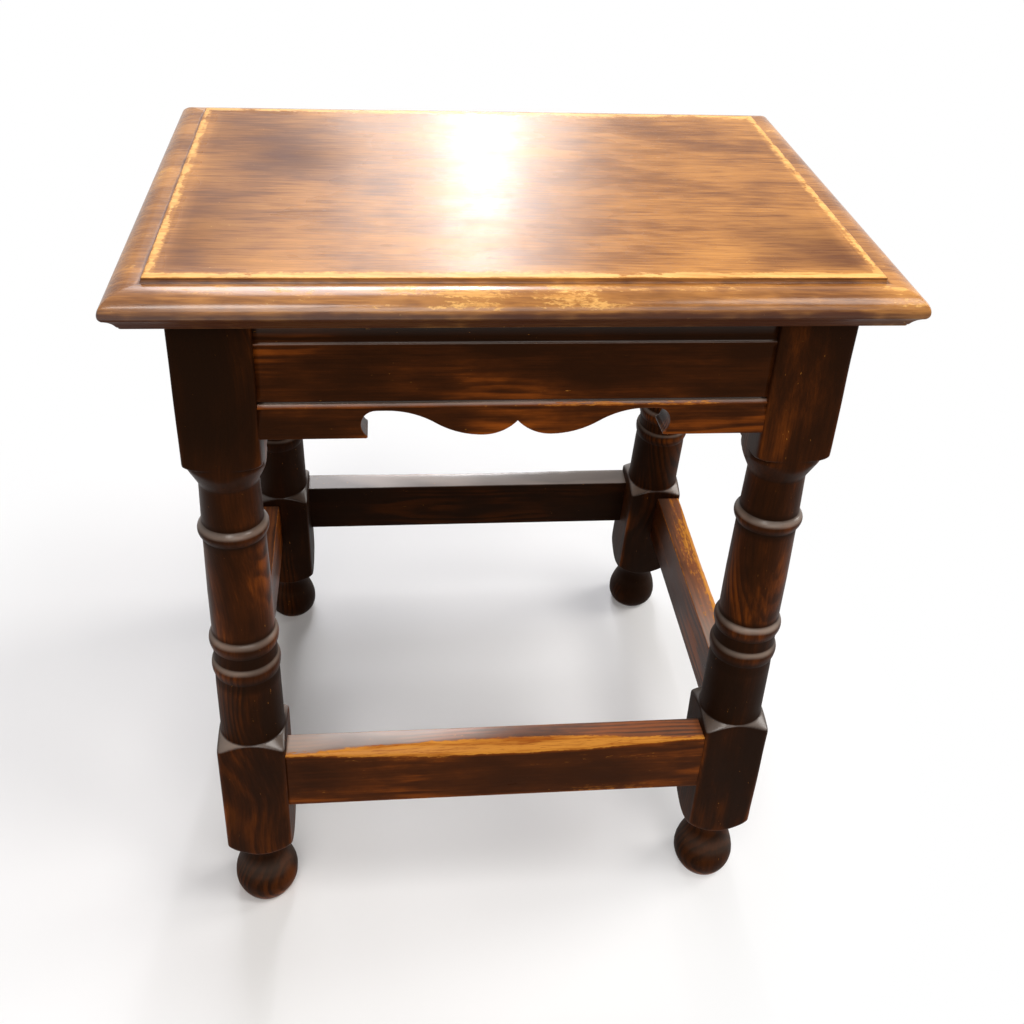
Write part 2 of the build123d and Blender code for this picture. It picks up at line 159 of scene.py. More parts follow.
class Shader:
    """The nodes of a material or of the world, and short ways to add to them."""

    def __init__(self, owner):
        self.owner = owner
        owner.use_nodes = True
        self.tree = owner.node_tree
        self.tree.nodes.clear()

    def plug(self, made, place, value):
        """Links a socket to a node's input, or sets the input to a value."""
        if isinstance(value, Socket):
            self.tree.links.new(value.socket, made.inputs[place])
        else:
            made.inputs[place].default_value = value

    def raw(self, kind, settings=None, *values, **named):
        """Adds a node: settings are set first, then sockets by order or by name."""
        made = self.tree.nodes.new("ShaderNode" + kind)
        for key, value in (settings or {}).items():
            setattr(made, key, value)
        for place, value in list(enumerate(values)) + list(named.items()):
            self.plug(made, place, value)
        return made

    def node(self, kind, settings=None, *values, output=0, **named):
        """Adds a node, and gives one of its outputs."""
        return Socket(self, self.raw(kind, settings, *values, **named).outputs[output])

    def attribute(self, name, output):
        return self.node("Attribute", {"attribute_name": name}, output=output)

    def scaled(self, vector, factors):
        return self.node("VectorMath", {"operation": "MULTIPLY"}, vector, factors)

    def moved(self, vector, offset):
        return self.node("VectorMath", {"operation": "ADD"}, vector, offset)

    def noise(self, vector, scale, detail=2.0, rough=0.5):
        return self.node(
            "TexNoise", {"normalize": True}, Vector=vector, Scale=scale, Detail=detail, Roughness=rough,
        )

    def blend(self, amount, first, second):
        """Colour first where amount is 0, second where it is 1."""
        made = self.raw("Mix", {"data_type": "RGBA"})
        for place, value in ((0, amount), (6, first), (7, second)):
            self.plug(made, place, value)
        return Socket(self, made.outputs[2])

    def seen(self):
        """1 on rays to the camera, also by gloss or glass, and 0 on rays that light the stool."""
        rays = self.raw("LightPath")
        kinds = ("Is Camera Ray", "Is Glossy Ray", "Is Transmission Ray")
        straight, gloss, glass = (Socket(self, rays.outputs[kind]) for kind in kinds)
        return straight.at_least(gloss).at_least(glass)

    def surface(self, finish, kind="OutputMaterial"):
        """Ends the graph, and returns the material or world that holds it."""
        self.raw(kind, None, Surface=finish)
        return self.owner


def rgb(red, green, blue):
    """A colour from display values 0 to 255, as the linear values that Blender works in."""
    def linear(value):
        value /= 255.0
        return value / 12.92 if value <= 0.04045 else ((value + 0.055) / 1.055) ** 2.4
    return (linear(red), linear(green), linear(blue), 1.0)


# %% [markdown]
# ## Oak under a dark stain
# Oak is ring-porous: each year's growth starts with a band of open pores, which drinks up stain and goes almost
# black, and ends in dense wood that stays lighter. A flat picture of grain would break at every turned shoulder.
# So the rings are worked out in space, as cylinders round the tree's heart: the point attribute `plank` holds
# metres along the grain and across it, measured from the heart. Turned parts then cut the rings into the long
# arches that a turner knows. Pores, flecks, wear and darkening are laid over that in turn. The darkening is
# painted shade in hollows, creases and under overhangs, and a plain darkening of some parts.

# %% Write the oak material
RING_WIDTH = 0.0033
RING_DRIFT = 0.014  # how far the rings stray from true circles
FILM_AND_SHEEN_COLOUR = rgb(172, 153, 139)  # old wax and dust, and on what faces up also a painted sheen
RELIEF = 0.00025  # depth of the pores and the grain


def oak(name, dark, body, light, bare, gloss, sheen, tint, glow, depth, mottle, figure, wax, dust_and_sheen, lumps):
    """Stained oak: soft clouds, streaks and rings over a body colour, and bare wood where it is rubbed.

    `mottle` holds the strengths of fine grain, streaks, clouds and large patches, `figure` is that of the rings, and
    `lumps` the detail of the clouds. `glow` says how light the wood is, and `depth` how dark its dark places are.
    `gloss` is the roughness of the wood, `sheen` the level of its reflections and `tint` their colour. `wax` is the
    roughness of its coat of wax, and `dust_and_sheen` how much a film of old wax and dust, partly a painted sheen,
    greys what faces up.
    """
    make = Shader(bpy.data.materials.new(name))
    plank = make.attribute("plank", "Vector")
    wear, polish, dust_and_sheen_mask = (make.attribute(mark, "Fac") for mark in ("wear", "polish", "dust_and_sheen"))
    parts = make.raw("SeparateXYZ", None, plank)
    across, deep = (Socket(make, parts.outputs[axis]) for axis in "YZ")

    def flecks(lengthwise, crosswise, detail=2.0, rough=0.6, shift=None):
        """Noise drawn out along the grain, with so many flecks to the metre lengthwise and crosswise."""
        place = make.scaled(plank, (lengthwise, crosswise, crosswise))
        if shift:
            place = make.moved(place, shift)
        return make.noise(place, 1.0, detail, rough)

    # Rings round the tree's heart, and flecks of all sizes along the grain.
    drift = flecks(6.0, 26.0, rough=0.5) - 0.5
    heart = (across * across + deep * deep) ** 0.5 + drift * RING_DRIFT
    saw = (heart / RING_WIDTH).fraction()
    late_wood = saw.between(0.05, 0.60) * (1.0 - saw.between(0.78, 1.0))
    pores = flecks(90.0, 1500.0).between(0.55, 0.70)
    grain = flecks(26.0, 620.0)
    streak = flecks(10.0, 130.0, 3.0, 0.55, (1.0, 5.0, 3.0))
    cloud = flecks(17.0, 46.0, lumps, shift=(3.0, 1.0, 7.0))
    patch = flecks(7.0, 17.0, rough=0.5, shift=(8.0, 5.0, 2.0))
    chips = flecks(170.0, 600.0, 3.0, 0.65)

    # Stain that varies with them, and is darkest in the pores.
    rings = (late_wood - 0.45) * (0.06 + patch.between(0.50, 0.62)) * figure
    tone = (grain - 0.5) * mottle[0] + (streak - 0.5) * mottle[1] + (cloud - 0.5) * mottle[2]
    tone = tone + (patch - 0.5) * mottle[3] + rings
    stained = make.blend((tone + glow).between(0.0, 1.0), body, light)
    shade = (0.5 - glow - tone).between(0.0, 0.9)
    stained = make.blend(shade * depth, stained, dark)
    stained = make.blend(pores * 0.22, stained, dark)

    # Wear thins the stain, and then bares the wood in ragged patches. Below 0 it darkens the wood instead: painted
    # shade in hollows, creases and under overhangs, and a plain darkening of some parts.
    thinned = wear.between(0.05, 0.65)
    stained = make.blend(thinned * (0.25 + 0.9 * cloud).clamped(), stained, light)
    rubbed = (wear + (chips - 0.5) * 1.4 + (streak - 0.5) * 1.5 + (cloud - 0.5) * 0.9).between(0.42, 0.75)
    rubbed = rubbed * wear.between(0.08, 0.30)
    knocks = pores * 0.5 + (1.0 - late_wood) * 0.15 + streak.between(0.50, 0.60) * 0.4
    knocks = (knocks + grain.between(0.50, 0.62) * 0.4).clamped()
    bare_wood = make.blend(knocks, bare, light)
    colour = make.blend(rubbed * 0.95, stained, bare_wood)
    darkening = (0.0 - wear).between(0.1, 0.9)
    # Below 0, wear darkens towards the dark colour: painted shade, and a plain darkening of some parts.
    colour = make.blend(darkening * 0.85, colour, dark)

    # The film of dust with its painted sheen on what faces up, small nicks, the shine and the relief.
    film_and_sheen = dust_and_sheen_mask * (0.4 + patch.between(0.42, 0.60) * 0.6) * (1.0 - rubbed) * dust_and_sheen
    colour = make.blend(film_and_sheen, colour, FILM_AND_SHEEN_COLOUR)
    nicks = chips.between(0.70, 0.75) * streak.between(0.45, 0.60)
    colour = make.blend(nicks * 0.6, colour, bare)
    roughness = gloss + pores * 0.08 + darkening * 0.25 + (cloud - 0.5) * 0.20 + rubbed * 0.12
    height = (1.0 - pores) * 0.3 + grain * 0.3 + streak * 0.3 + chips * 0.2
    bump = make.node("Bump", None, Strength=0.30, Distance=RELIEF, Height=height)
    finish = make.node(
        "BsdfPrincipled", None,
        **{"Base Color": colour, "Roughness": roughness, "Normal": bump, "Specular IOR Level": sheen,
           "Specular Tint": tint, "Coat Weight": polish * (1.0 - rubbed * 0.7), "Coat Roughness": wax},
    )
    return make.surface(finish)


oak_frame = oak(
    "stained_oak", dark=rgb(22, 11, 5), body=rgb(76, 37, 13), light=rgb(150, 76, 22), bare=rgb(212, 142, 56),
    gloss=0.32, sheen=0.05, tint=(1.0, 0.62, 0.40, 1.0), glow=0.05, depth=0.75, mottle=(0.5, 0.8, 1.4, 2.1),
    figure=0.40, wax=0.24, dust_and_sheen=0.66, lumps=4.0,
)
oak_top = oak(
    "polished_oak", dark=rgb(60, 20, 4), body=rgb(140, 89, 41), light=rgb(184, 126, 62), bare=rgb(230, 180, 106),
    gloss=0.26, sheen=0.09, tint=(1.0, 1.0, 1.0, 1.0), glow=0.34, depth=0.6, mottle=(1.3, 0.8, 0.9, 1.2),
    figure=0.08, wax=0.16, dust_and_sheen=0.0, lumps=1.5,
)
print("oak materials:", oak_frame.name, oak_top.name)

# %% [markdown]
# ## How every piece is finished
# A bar, a board and a turned leg differ in how their points are laid out, and in nothing else. `Piece` collects the
# points and faces, and notes for each point its place in the plank and its wear. Wear is 1 where a hand or boot has
# rubbed to bare wood, and below 0 where the wood is darker: painted shade in hollows, creases and under overhangs,
# and a plain darkening of some parts. `Piece.finish` then lays wax, and dust that is also a painted sheen, on what
# faces up, and hangs the piece on the frame in place of the plain solid.

# %% Steps, bumps and wandering
MM = 0.001


def soft_step(low, high, value):
    """0 below low, 1 above high, smooth between. With low above high it falls instead."""
    t = min(max((value - low) / (high - low), 0.0), 1.0)
    return t * t * (3.0 - 2.0 * t)


def bump_at(centre, width, value):
    """1 at the centre, fading to nothing over about twice the width."""
    return exp(-((value - centre) / width) ** 2)


def wander(seed, *place):
    """Smooth repeatable noise between about -1 and 1."""
    x, y, z = (list(place) + [0.0, 0.0])[:3]
    return noise.noise(Vector((x + 17.3 * seed, y - 9.1 * seed, z + 4.7 * seed)))


# %% Make a piece from points and faces
WAX = 0.9  # of the shine of wax, on what faces up
BY_FACING = -1.0  # polish of a point that gets its wax by the way it faces
WELD = 0.01 * MM  # points nearer than this become one
SLIVER = 0.001 * MM


class Piece:
    """Points, faces and wear of one piece while it is being modelled."""

    def __init__(self, name, material, slot):
        self.name, self.material, self.slot = name, material, slot
        self.points, self.planks, self.faces = [], [], []
        self.marks = {"wear": [], "polish": [], "dust_and_sheen": []}

    def add(self, point, plank, wear=0.0, polish=BY_FACING, dust_and_sheen_level=0.0):
        """Adds a point, and returns its number.

        `dust_and_sheen_level` is -1 where the film of dust and painted sheen is wiped off, 0 where it lies on what
        faces up, and 1 where it clings, as the painted highlight on the turned rings does.
        """
        self.points.append(Vector(point))
        self.planks.append(plank)
        self.marks["wear"].append(wear)
        self.marks["polish"].append(polish)
        self.marks["dust_and_sheen"].append(dust_and_sheen_level)
        return len(self.points) - 1

    def skin(self, rows, closed=False):
        """Quads between each row of points and the next, and round the rows if they are closed."""
        for first, second in zip(rows, rows[1:]):
            count = len(first)
            for i in range(count if closed else count - 1):
                j = (i + 1) % count
                self.faces.append((first[i], first[j], second[j], second[i]))

    def cap(self, rows):
        """One face over each end of a stack of closed rows."""
        self.faces += [tuple(rows[0]), tuple(rows[-1])]

    def make_mesh(self):
        """The mesh, with the plank and the marks as values at its points."""
        mesh = bpy.data.meshes.new(self.name)
        mesh.from_pydata(self.points, [], self.faces)
        plank = mesh.attributes.new("plank", "FLOAT_VECTOR", "POINT")
        plank.data.foreach_set("vector", [value for place in self.planks for value in place])
        for name, values in self.marks.items():
            mesh.attributes.new(name, "FLOAT", "POINT").data.foreach_set("value", values)
        return mesh

    def finish(self, node):
        """Cleans the mesh, gives it wax and dust with its painted sheen, and hangs it on the frame in place of a
        node.
        """
        mesh = self.make_mesh()
        work = bmesh.new()
        work.from_mesh(mesh)
        bmesh.ops.remove_doubles(work, verts=work.verts, dist=WELD)
        bmesh.ops.dissolve_degenerate(work, edges=work.edges, dist=SLIVER)
        bmesh.ops.triangulate(work, faces=[face for face in work.faces if len(face.verts) > 4])
        bmesh.ops.recalc_face_normals(work, faces=work.faces)
        for face in work.faces:
            face.smooth = True
        open_edges = sum(1 for edge in work.edges if not edge.is_manifold)
        lay_wax_dust_and_sheen(work)
        work.to_mesh(mesh)
        work.free()
        mesh.materials.append(self.material)
        piece = add_object(self.name, mesh)
        piece.modifiers.new("even_shading", "WEIGHTED_NORMAL").keep_sharp = True
        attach(piece, "root")
        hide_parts(node)
        print(f"{self.name}: {len(mesh.polygons)} faces, {open_edges} open edges")


def lay_wax_dust_and_sheen(work):
    """Polish, and dust that is also a painted sheen, by how far each point faces up. What wipes off the dust and its
    sheen takes wax with it.
    """
    work.normal_update()
    polish, dust_and_sheen = (work.verts.layers.float[name] for name in ("polish", "dust_and_sheen"))
    for point in work.verts:
        up = point.normal.z
        kept = 1 + min(point[dust_and_sheen], 0.0)
        if point[polish] < 0:
            point[polish] = WAX * kept * soft_step(0.35, 0.95, up)
        point[dust_and_sheen] = max(kept * soft_step(0.60, 1.0, up), point[dust_and_sheen] * soft_step(0.2, 0.65, up))


# %% [markdown]
# ## The top
# The board's edge is a raised field, an upright fillet, a thumb moulding, and a nose turned under to a hollow. The
# mouldings meet in mitres at the corners, as they do when a moulding plane is run along all four sides. So the mesh
# is a set of nested rings: each point of the edge's section gives one rectangle, and the rings go on inwards over
# the field and the underside. That keeps the mitres exact, and leaves a ring wherever an arris is worn round.

# %% Draw arcs by their tangent
def tangent_arc(start, end, tangent, steps=9):
    """Points of the circular arc from start to end that leaves start along the tangent."""
    start, end = Vector(start), Vector(end)
    chord = end - start
    normal = Vector((-tangent[1], tangent[0]))
    lean = 2 * normal.dot(chord)
    if abs(lean) < 1e-9:
        return [start.lerp(end, i / steps) for i in range(steps + 1)]
    centre = start + normal * (chord.length_squared / lean)
    first, last = start - centre, end - centre
    turn = first.angle_signed(last)
    return [centre + Matrix.Rotation(-turn * i / steps, 2) @ first for i in range(steps + 1)]


# %% Model the top board
top_low, top_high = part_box("top_board")
HALF_LENGTH, HALF_DEPTH = top_high.x, top_high.y
UNDERSIDE, SEAT = top_low.z, top_high.z
THICKNESS = SEAT - UNDERSIDE
FIELD_INSET = 20.9 * MM
FIELD_DROP = 3.0 * MM
THUMB_CROWN = THICKNESS - FIELD_DROP
THUMB_WIDTH = 14.0 * MM
THUMB_NOSE_RADIUS = 8.0 * MM  # of its tight curve at the nose, which a flatter one joins
NOSE_HEIGHT = 11.2 * MM
NOSE_ROUND = (1.2 * MM, 3.0 * MM)
UNDER_INSET = 8.3 * MM
UNDER_FILLET = 1.6 * MM
HOLLOW_INSET = 7.4 * MM
HOLLOW_SAG = 0.7 * MM
# How far the corners of the rings are rounded, seen from above.
FIELD_CORNER, NOSE_CORNER, HOLLOW_CORNER, UNDER_CORNER = 0.5 * MM, 1.6 * MM, 1.2 * MM, 1.0 * MM
# The field's worn edge and the fillet under it: mm inside the fillet, mm below the seat, and wear. Wear below 0 is
# painted shade on the fillet and in the quirk at its foot.
FIELD_EDGE = (
    (16, 0, 0), (12, 0, 0.10), (9.5, 0, 0.26), (7.5, 0, 0.44), (5.5, 0, 0.66), (4, 0, 0.85), (2.5, 0.02, 1),
    (1.2, 0.07, 0.9), (0.5, 0.2, 0.6), (0.12, 0.45, 0.1), (0, 0.8, -0.3), (0, 1.6, -0.5), (-0.25, 3.2, -0.8),
    (-1, 3.3, -0.8), (-1.9, 3.05, -0.4), (-3.4, 3, 0.05),
)


def thumb_line():
    """The thumb moulding from its level crown to the nose: a flat arc that runs into a tight one."""
    tight = Vector((THUMB_NOSE_RADIUS, NOSE_HEIGHT))
    crown = Vector((THUMB_WIDTH, THUMB_CROWN))
    across, rise = crown.x - tight.x, crown.y - tight.y
    flat_radius = (across ** 2 + rise ** 2 - THUMB_NOSE_RADIUS ** 2) / (2 * (rise - THUMB_NOSE_RADIUS))
    join = tight + (tight - (crown - Vector((0.0, flat_radius)))).normalized() * THUMB_NOSE_RADIUS
    flat = tangent_arc(crown, join, (-1, 0), steps=8)
    return flat[:-1] + tangent_arc((0.0, NOSE_HEIGHT), join, (0, 1), steps=7)[::-1]


def top_section():
    """Points of the edge's section from the field to the underside: inset, height, wear, corner radius. Wear below 0
    is painted shade on the thumb's lower half, round under the nose, in the hollow and on the underside.
    """
    section = []
    for inset, drop, wear in FIELD_EDGE:
        section.append((FIELD_INSET + inset * MM, THICKNESS - drop * MM, wear, FIELD_CORNER))
    for place in thumb_line():
        share = (place.y - NOSE_HEIGHT) / (THUMB_CROWN - NOSE_HEIGHT)
        section.append((place.x, place.y, 0.10 - 0.90 * soft_step(0.5, 0.0, share), NOSE_CORNER))
    nose_end = Vector((NOSE_ROUND[0], NOSE_HEIGHT - NOSE_ROUND[1]))
    for step, place in enumerate(tangent_arc((0.0, NOSE_HEIGHT), nose_end, (0, -1), steps=4)[1:]):
        section.append((place.x, place.y, -0.6 - 0.15 * step, NOSE_CORNER))
    hollow_end = Vector((HOLLOW_INSET, UNDER_FILLET))
    across = (hollow_end - nose_end).normalized().orthogonal()
    for step in range(1, 7):
        share = step / 6
        sag = HOLLOW_SAG * 4 * share * (1 - share)
        place = nose_end.lerp(hollow_end, share) + Vector((abs(across.x), abs(across.y))) * sag
        section.append((place.x, place.y, -1.0, HOLLOW_CORNER))
    for inset, height, wear in ((0.0, UNDER_FILLET, -1.0), (0.0, 0.4 * MM, -0.8), (0.4 * MM, 0.0, -0.8)):
        section.append((UNDER_INSET + inset, height, wear, UNDER_CORNER))
    return section


def ring_places(half_x, half_y, radius, long_steps=96, short_steps=68, corner_steps=4):
    """Corner-rounded rectangle as a closed ring, always with the same number of points."""
    radius = min(radius, half_y * 0.9)
    arcs = []
    for sx, sy, start in ((1, -1, -90), (1, 1, 0), (-1, 1, 90), (-1, -1, 180)):
        centre = Vector((sx * (half_x - radius), sy * (half_y - radius)))
        angles = [radians(start + 90 * step / corner_steps) for step in range(corner_steps + 1)]
        arcs.append([centre + radius * Vector((cos(angle), sin(angle))) for angle in angles])
    places = []
    for number, arc in enumerate(arcs):
        target = arcs[(number + 1) % 4][0]
        steps = short_steps if number % 2 == 0 else long_steps
        places += arc + [arc[-1].lerp(target, step / steps) for step in range(1, steps)]
    return places


# %% Wear and polish the top
TOP_HEART = Vector((0.035, 0.40))  # the tree's heart, seen from the end of the board: back and up
TOP_SLANT = 0.03  # of the heart to the board
TOP_START = 2.0  # the board's place along its plank
TOP_FIGURE = 1.5  # by which its clouds and flecks are shorter than a leg's
TOP_SEED = 1.0
FIELD_LINE = THUMB_CROWN + 2 * MM  # what lies above it is the field's
PLANE_WAVES = 0.10 * MM  # left by a hand plane
PLANED_FROM = 20 * MM  # height above the underside
HOLLOWS = 0.35 * MM  # worn by hands in the field's edge
FIELD_RINGS, UNDER_RINGS = 26, 14


def field_darkening(x, y):
    """How much darker the field is: at its left end, in a patch beside that, and at the front right corner."""
    left = 0.42 * soft_step(-0.06, -0.19, x)
    patch = 0.30 * bump_at(-0.13, 0.05, x) * bump_at(0.05, 0.05, y)
    corner = 0.50 * soft_step(0.08, 0.19, x) * soft_step(0.03, -0.10, y)
    return (left + patch + corner) * (1 + 0.5 * wander(8.0, x * 12, y * 20))


def blotches(x, y, height):
    """Patchiness of the wear: broad patches, and two smaller kinds over them."""
    broad = wander(TOP_SEED + 3, x * 26, y * 26)
    small = 0.8 * wander(TOP_SEED + 4, x * 90, y * 90, height * 90)
    return broad + small + 0.6 * wander(TOP_SEED + 5, x * 210, y * 210, height * 210)


def top_point(piece, place, height, wear):
    """Adds a point of the top. The field, the moulding and the ends differ in wear and polish."""
    x, y = place
    on_field = height > FIELD_LINE
    moulded = NOSE_HEIGHT - 1 * MM < height < FIELD_LINE
    at_end = HALF_LENGTH - abs(x) < HALF_DEPTH - abs(y)
    if on_field and wear < 0.5:
        wear -= field_darkening(x, y)
    if moulded and not at_end:
        wear += 0.30 * bump_at(0.02, 0.16, x) * soft_step(NOSE_HEIGHT + 1 * MM, NOSE_HEIGHT + 5 * MM, height)
    elif at_end and 0.1 < wear < 1.0:
        wear -= 0.25
    if not (on_field and wear < 0.5):
        wear += (0.34 if moulded else 0.45) * blotches(x, y, height)
    waved = PLANE_WAVES * (wander(TOP_SEED, x * 14, y * 14) - 0.8)
    z = UNDERSIDE + height + (waved if height > PLANED_FROM else 0.0)
    plank = (TOP_FIGURE * x + TOP_START, y - TOP_HEART.x + TOP_SLANT * x, z - TOP_HEART.y)
    waxed = 0.2 if at_end else 1.0 - 0.6 * soft_step(-0.09, 0.03, x)
    return piece.add((x, y, z), plank, wear, waxed if moulded else 0.0)


def build_top():
    piece = Piece("moulded_top", oak_top, "seat_oak")
    section = top_section()
    outer, inner = section[0][0], section[-1][0]
    rings = [(outer + (HALF_DEPTH - outer) * (1 - step / FIELD_RINGS), THICKNESS, 0.0, 0.0)
             for step in range(FIELD_RINGS)]
    rings += section
    rings += [(inner + (HALF_DEPTH - inner) * step / UNDER_RINGS, 0.0, -0.1, 0.0)
              for step in range(1, UNDER_RINGS + 1)]
    rows = []
    for inset, height, wear, radius in rings:
        row = []
        for place in ring_places(HALF_LENGTH - inset, max(HALF_DEPTH - inset, 0.0), radius):
            worn = HOLLOWS * max(wander(5.0, place.x * 9, place.y * 9), 0.0) if wear > 0.6 else 0.0
            row.append(top_point(piece, place, height - worn, wear))
        rows.append(row)
    piece.skin(rows, closed=True)
    piece.finish("top_board")


build_top()

# %% [markdown]
# ## The legs
# A turner starts with a square stick and leaves it square where rails join it. What shows is the meeting of two
# shapes: a turned outline and a square prism. In polar form that is simple: the radius at each height and angle is
# the smaller of the two, so no boolean cut is needed, and the shoulders come out as the arcs that a gouge leaves.
# A soft minimum rounds the arrises by a fraction of a millimetre, and the square is drawn with slightly bulging
# corners, as old ones are. The tree's heart runs out of each leg at a slant and sways, so its rings come out as
# nested arches.

# %% Measure the legs
LEG_X = 174.75 * MM
HALF_LEG = 23.75 * MM
RAKE = radians(4.8)
LEG_SETBACK = 21.2 * MM  # of the legs' faces behind the nose, at the underside
FOOT_Y = HALF_DEPTH - LEG_SETBACK - HALF_LEG / cos(RAKE) + UNDERSIDE * tan(RAKE)
LEG_TOP = UNDERSIDE / cos(RAKE)
BLOCK_LINE = 402.0 * MM  # foot of the upper blocks
FOOT_MIDDLE = 18.0 * MM
ARRIS_BLEND = 0.9 * MM  # rounding where the turning meets the square
HEART_DEPTH = 30.0 * MM
HEART_SLANT = 0.055
HEART_SWAY = 5.0 * MM  # of the tree's heart from side to side
SWAY_RATE = 36  # radians to the metre
LEG_START = 3.1  # metres along the plank, times the leg's seed
RING_LINES = (231.0 * MM, 253.2 * MM, 342.0 * MM)  # where a painted highlight lies on the turned rings, laid as a film of dust
# Strengths of the painted highlight on the rings and of the dust in the neck above the foot.
RING_SHEEN, NECK_DUST = 1.35, 0.22
LOW_DARKENING = 0.34  # darkening of the leg's lower half
# Turned outline, up the axis: height, radius (mm), wear. Wear below 0 is painted shade in the neck above the foot
# and in the narrow fillets.
OUTLINE = [
    (0, 17, 0.3), (0.5, 17.9, 0.6), (2.5, 19.3, 0.45), (6, 21.2, 0.1), (10, 22.4, -0.05), (14.5, 22.8, -0.1),
    (19, 22.4, -0.1), (25, 21, -0.15), (31, 19, -0.2), (36.5, 16.9, -0.4), (41, 15.4, -0.7), (45, 14.9, -0.7),
    (49, 15.5, -0.6), (52, 17, -0.3), (57.3, 23.75, 0), (63, 29.6, 0.1), (69, 34.2, 0.2), (74, 40, 0), (159, 40, 0),
    (160.5, 34.6, 0.1), (168.5, 22.8, -0.3), (170.5, 22.5, -0.25), (213, 22.2, 0),
]


# %% Outline the turning
def ring_outline(height, width, crest, below, above):
    """A turned ring: gentler below its crest and steeper above."""
    places = []
    # Its crest is a little worn, and where it meets the turning it gets painted shade.
    for step in range(-6, 7):
        share = step / 6
        half = width * (0.56 if share < 0 else 0.44)
        base = below if share < 0 else above
        bulge = cos(share * pi / 2) ** 0.8
        places.append((height + share * half, base + (crest - base) * bulge, 0.16 * bulge ** 2 - 0.5 * (1 - bulge)))
    return places


OUTLINE += ring_outline(229.3, 13, 23.6, 21.9, 21.4)
OUTLINE += ring_outline(251.5, 13, 23.6, 21.4, 20.9)
OUTLINE += [(262, 20.95, 0), (292, 20.8, 0), (330, 20, 0)]
OUTLINE += ring_outline(340.5, 11, 22.7, 20, 19.5)
OUTLINE += [
    (350, 19.5, -0.1), (373.5, 18.8, 0), (375, 18.9, -0.2), (377, 19.7, -0.1), (387.5, 25.1, 0), (389, 25.8, 0.1),
    (390, 26, 0.2), (393.2, 26, -0.3), (393.5, 27.8, 0), (394.1, 29.4, 0), (395, 31, 0), (396.5, 32.7, 0.1),
    (399, 34.3, 0.2), (402, 36, 0), (406, 40, 0), (520, 40, 0),
]


def read_outline(height):
    """Radius and wear of the turning at a height up the axis, by smooth interpolation."""
    value = height / MM
    for (low, low_r, low_w), (high, high_r, high_w) in zip(OUTLINE, OUTLINE[1:]):
        if value <= high:
            share = min(max((value - low) / max(high - low, 1e-6), 0.0), 1.0)
            return (low_r + (high_r - low_r) * share) * MM, low_w + (high_w - low_w) * share
    return OUTLINE[-1][1] * MM, 0.0


def soft_least(first, second, blend):
    """The smaller of two lengths, rounded where they cross."""
    return (first + second - sqrt((first - second) ** 2 + blend ** 2)) / 2


# %% Lay out the points of a leg
def leg_heights():
    """Heights of the rings of points: close together where the outline turns."""
    spans = ((0, 2, 0.5), (2, 50, 1.6), (50, 75, 0.6), (75, 155, 3), (155, 171, 0.55), (171, 220, 3.5),
             (220, 262, 0.8), (262, 332, 4), (332, 350, 0.8), (350, 366, 2.5), (366, 408, 0.6), (408, 494.8, 4.5))
    heights = []
    for low, high, step in spans:
        count = max(int(round((high - low) / step)), 1)
        heights += [(low + (high - low) * i / count) * MM for i in range(count)]
    return heights + [LEG_TOP]


def leg_angles():
    """Angles round the leg, with more of them by the four arrises."""
    quarter = [0, 7, 14, 21, 27, 32, 36, 39.2, 41.5, 43.2, 44.4, 45, 45.6, 46.8, 48.5, 50.8, 54, 58, 63, 69, 76, 83]
    return [radians(angle + 90 * turn) for turn in range(4) for angle in quarter]


def square_radius(angle, sharpness):
    """Radius of the square stick with worn corners, at an angle."""
    c, s = abs(cos(angle)), abs(sin(angle))
    return HALF_LEG / (c ** sharpness + s ** sharpness) ** (1 / sharpness)


# %% Wear the legs and build them
def leg_dust_and_sheen(height):
    """How much of the film clings at a height: a painted highlight on the turned rings, and a little dust in the
    neck above the foot.
    """
    rings = RING_SHEEN * max(bump_at(middle, 4 * MM, height) for middle in RING_LINES)
    return max(rings, NECK_DUST * bump_at(30 * MM, 10 * MM, height))


def leg_wear(worn, turned, square, radius, height, angle, seed):
    """Wear of a point on a leg, and how near it is to a square block's arris, from 0 to 1."""
    arris = abs((degrees(angle) % 90) - 45) * radians(1) * radius / MM
    excess = (turned - square) / MM
    squareness = soft_step(-0.5, 2.5, excess)
    edge = bump_at(0.0, 1.6, arris) * squareness
    shoulder_highlight = bump_at(0.0, 0.9, excess) * (1 - edge)
    rubbed = 0.16 + 0.22 * bump_at(90 * MM, 60 * MM, height) + 0.6 * wander(seed + 7, height * 16, angle)
    # A little painted highlight lightens the arcs where the turning meets the square block.
    return worn * (1 - squareness) + rubbed * edge + 0.1 * shoulder_highlight, edge


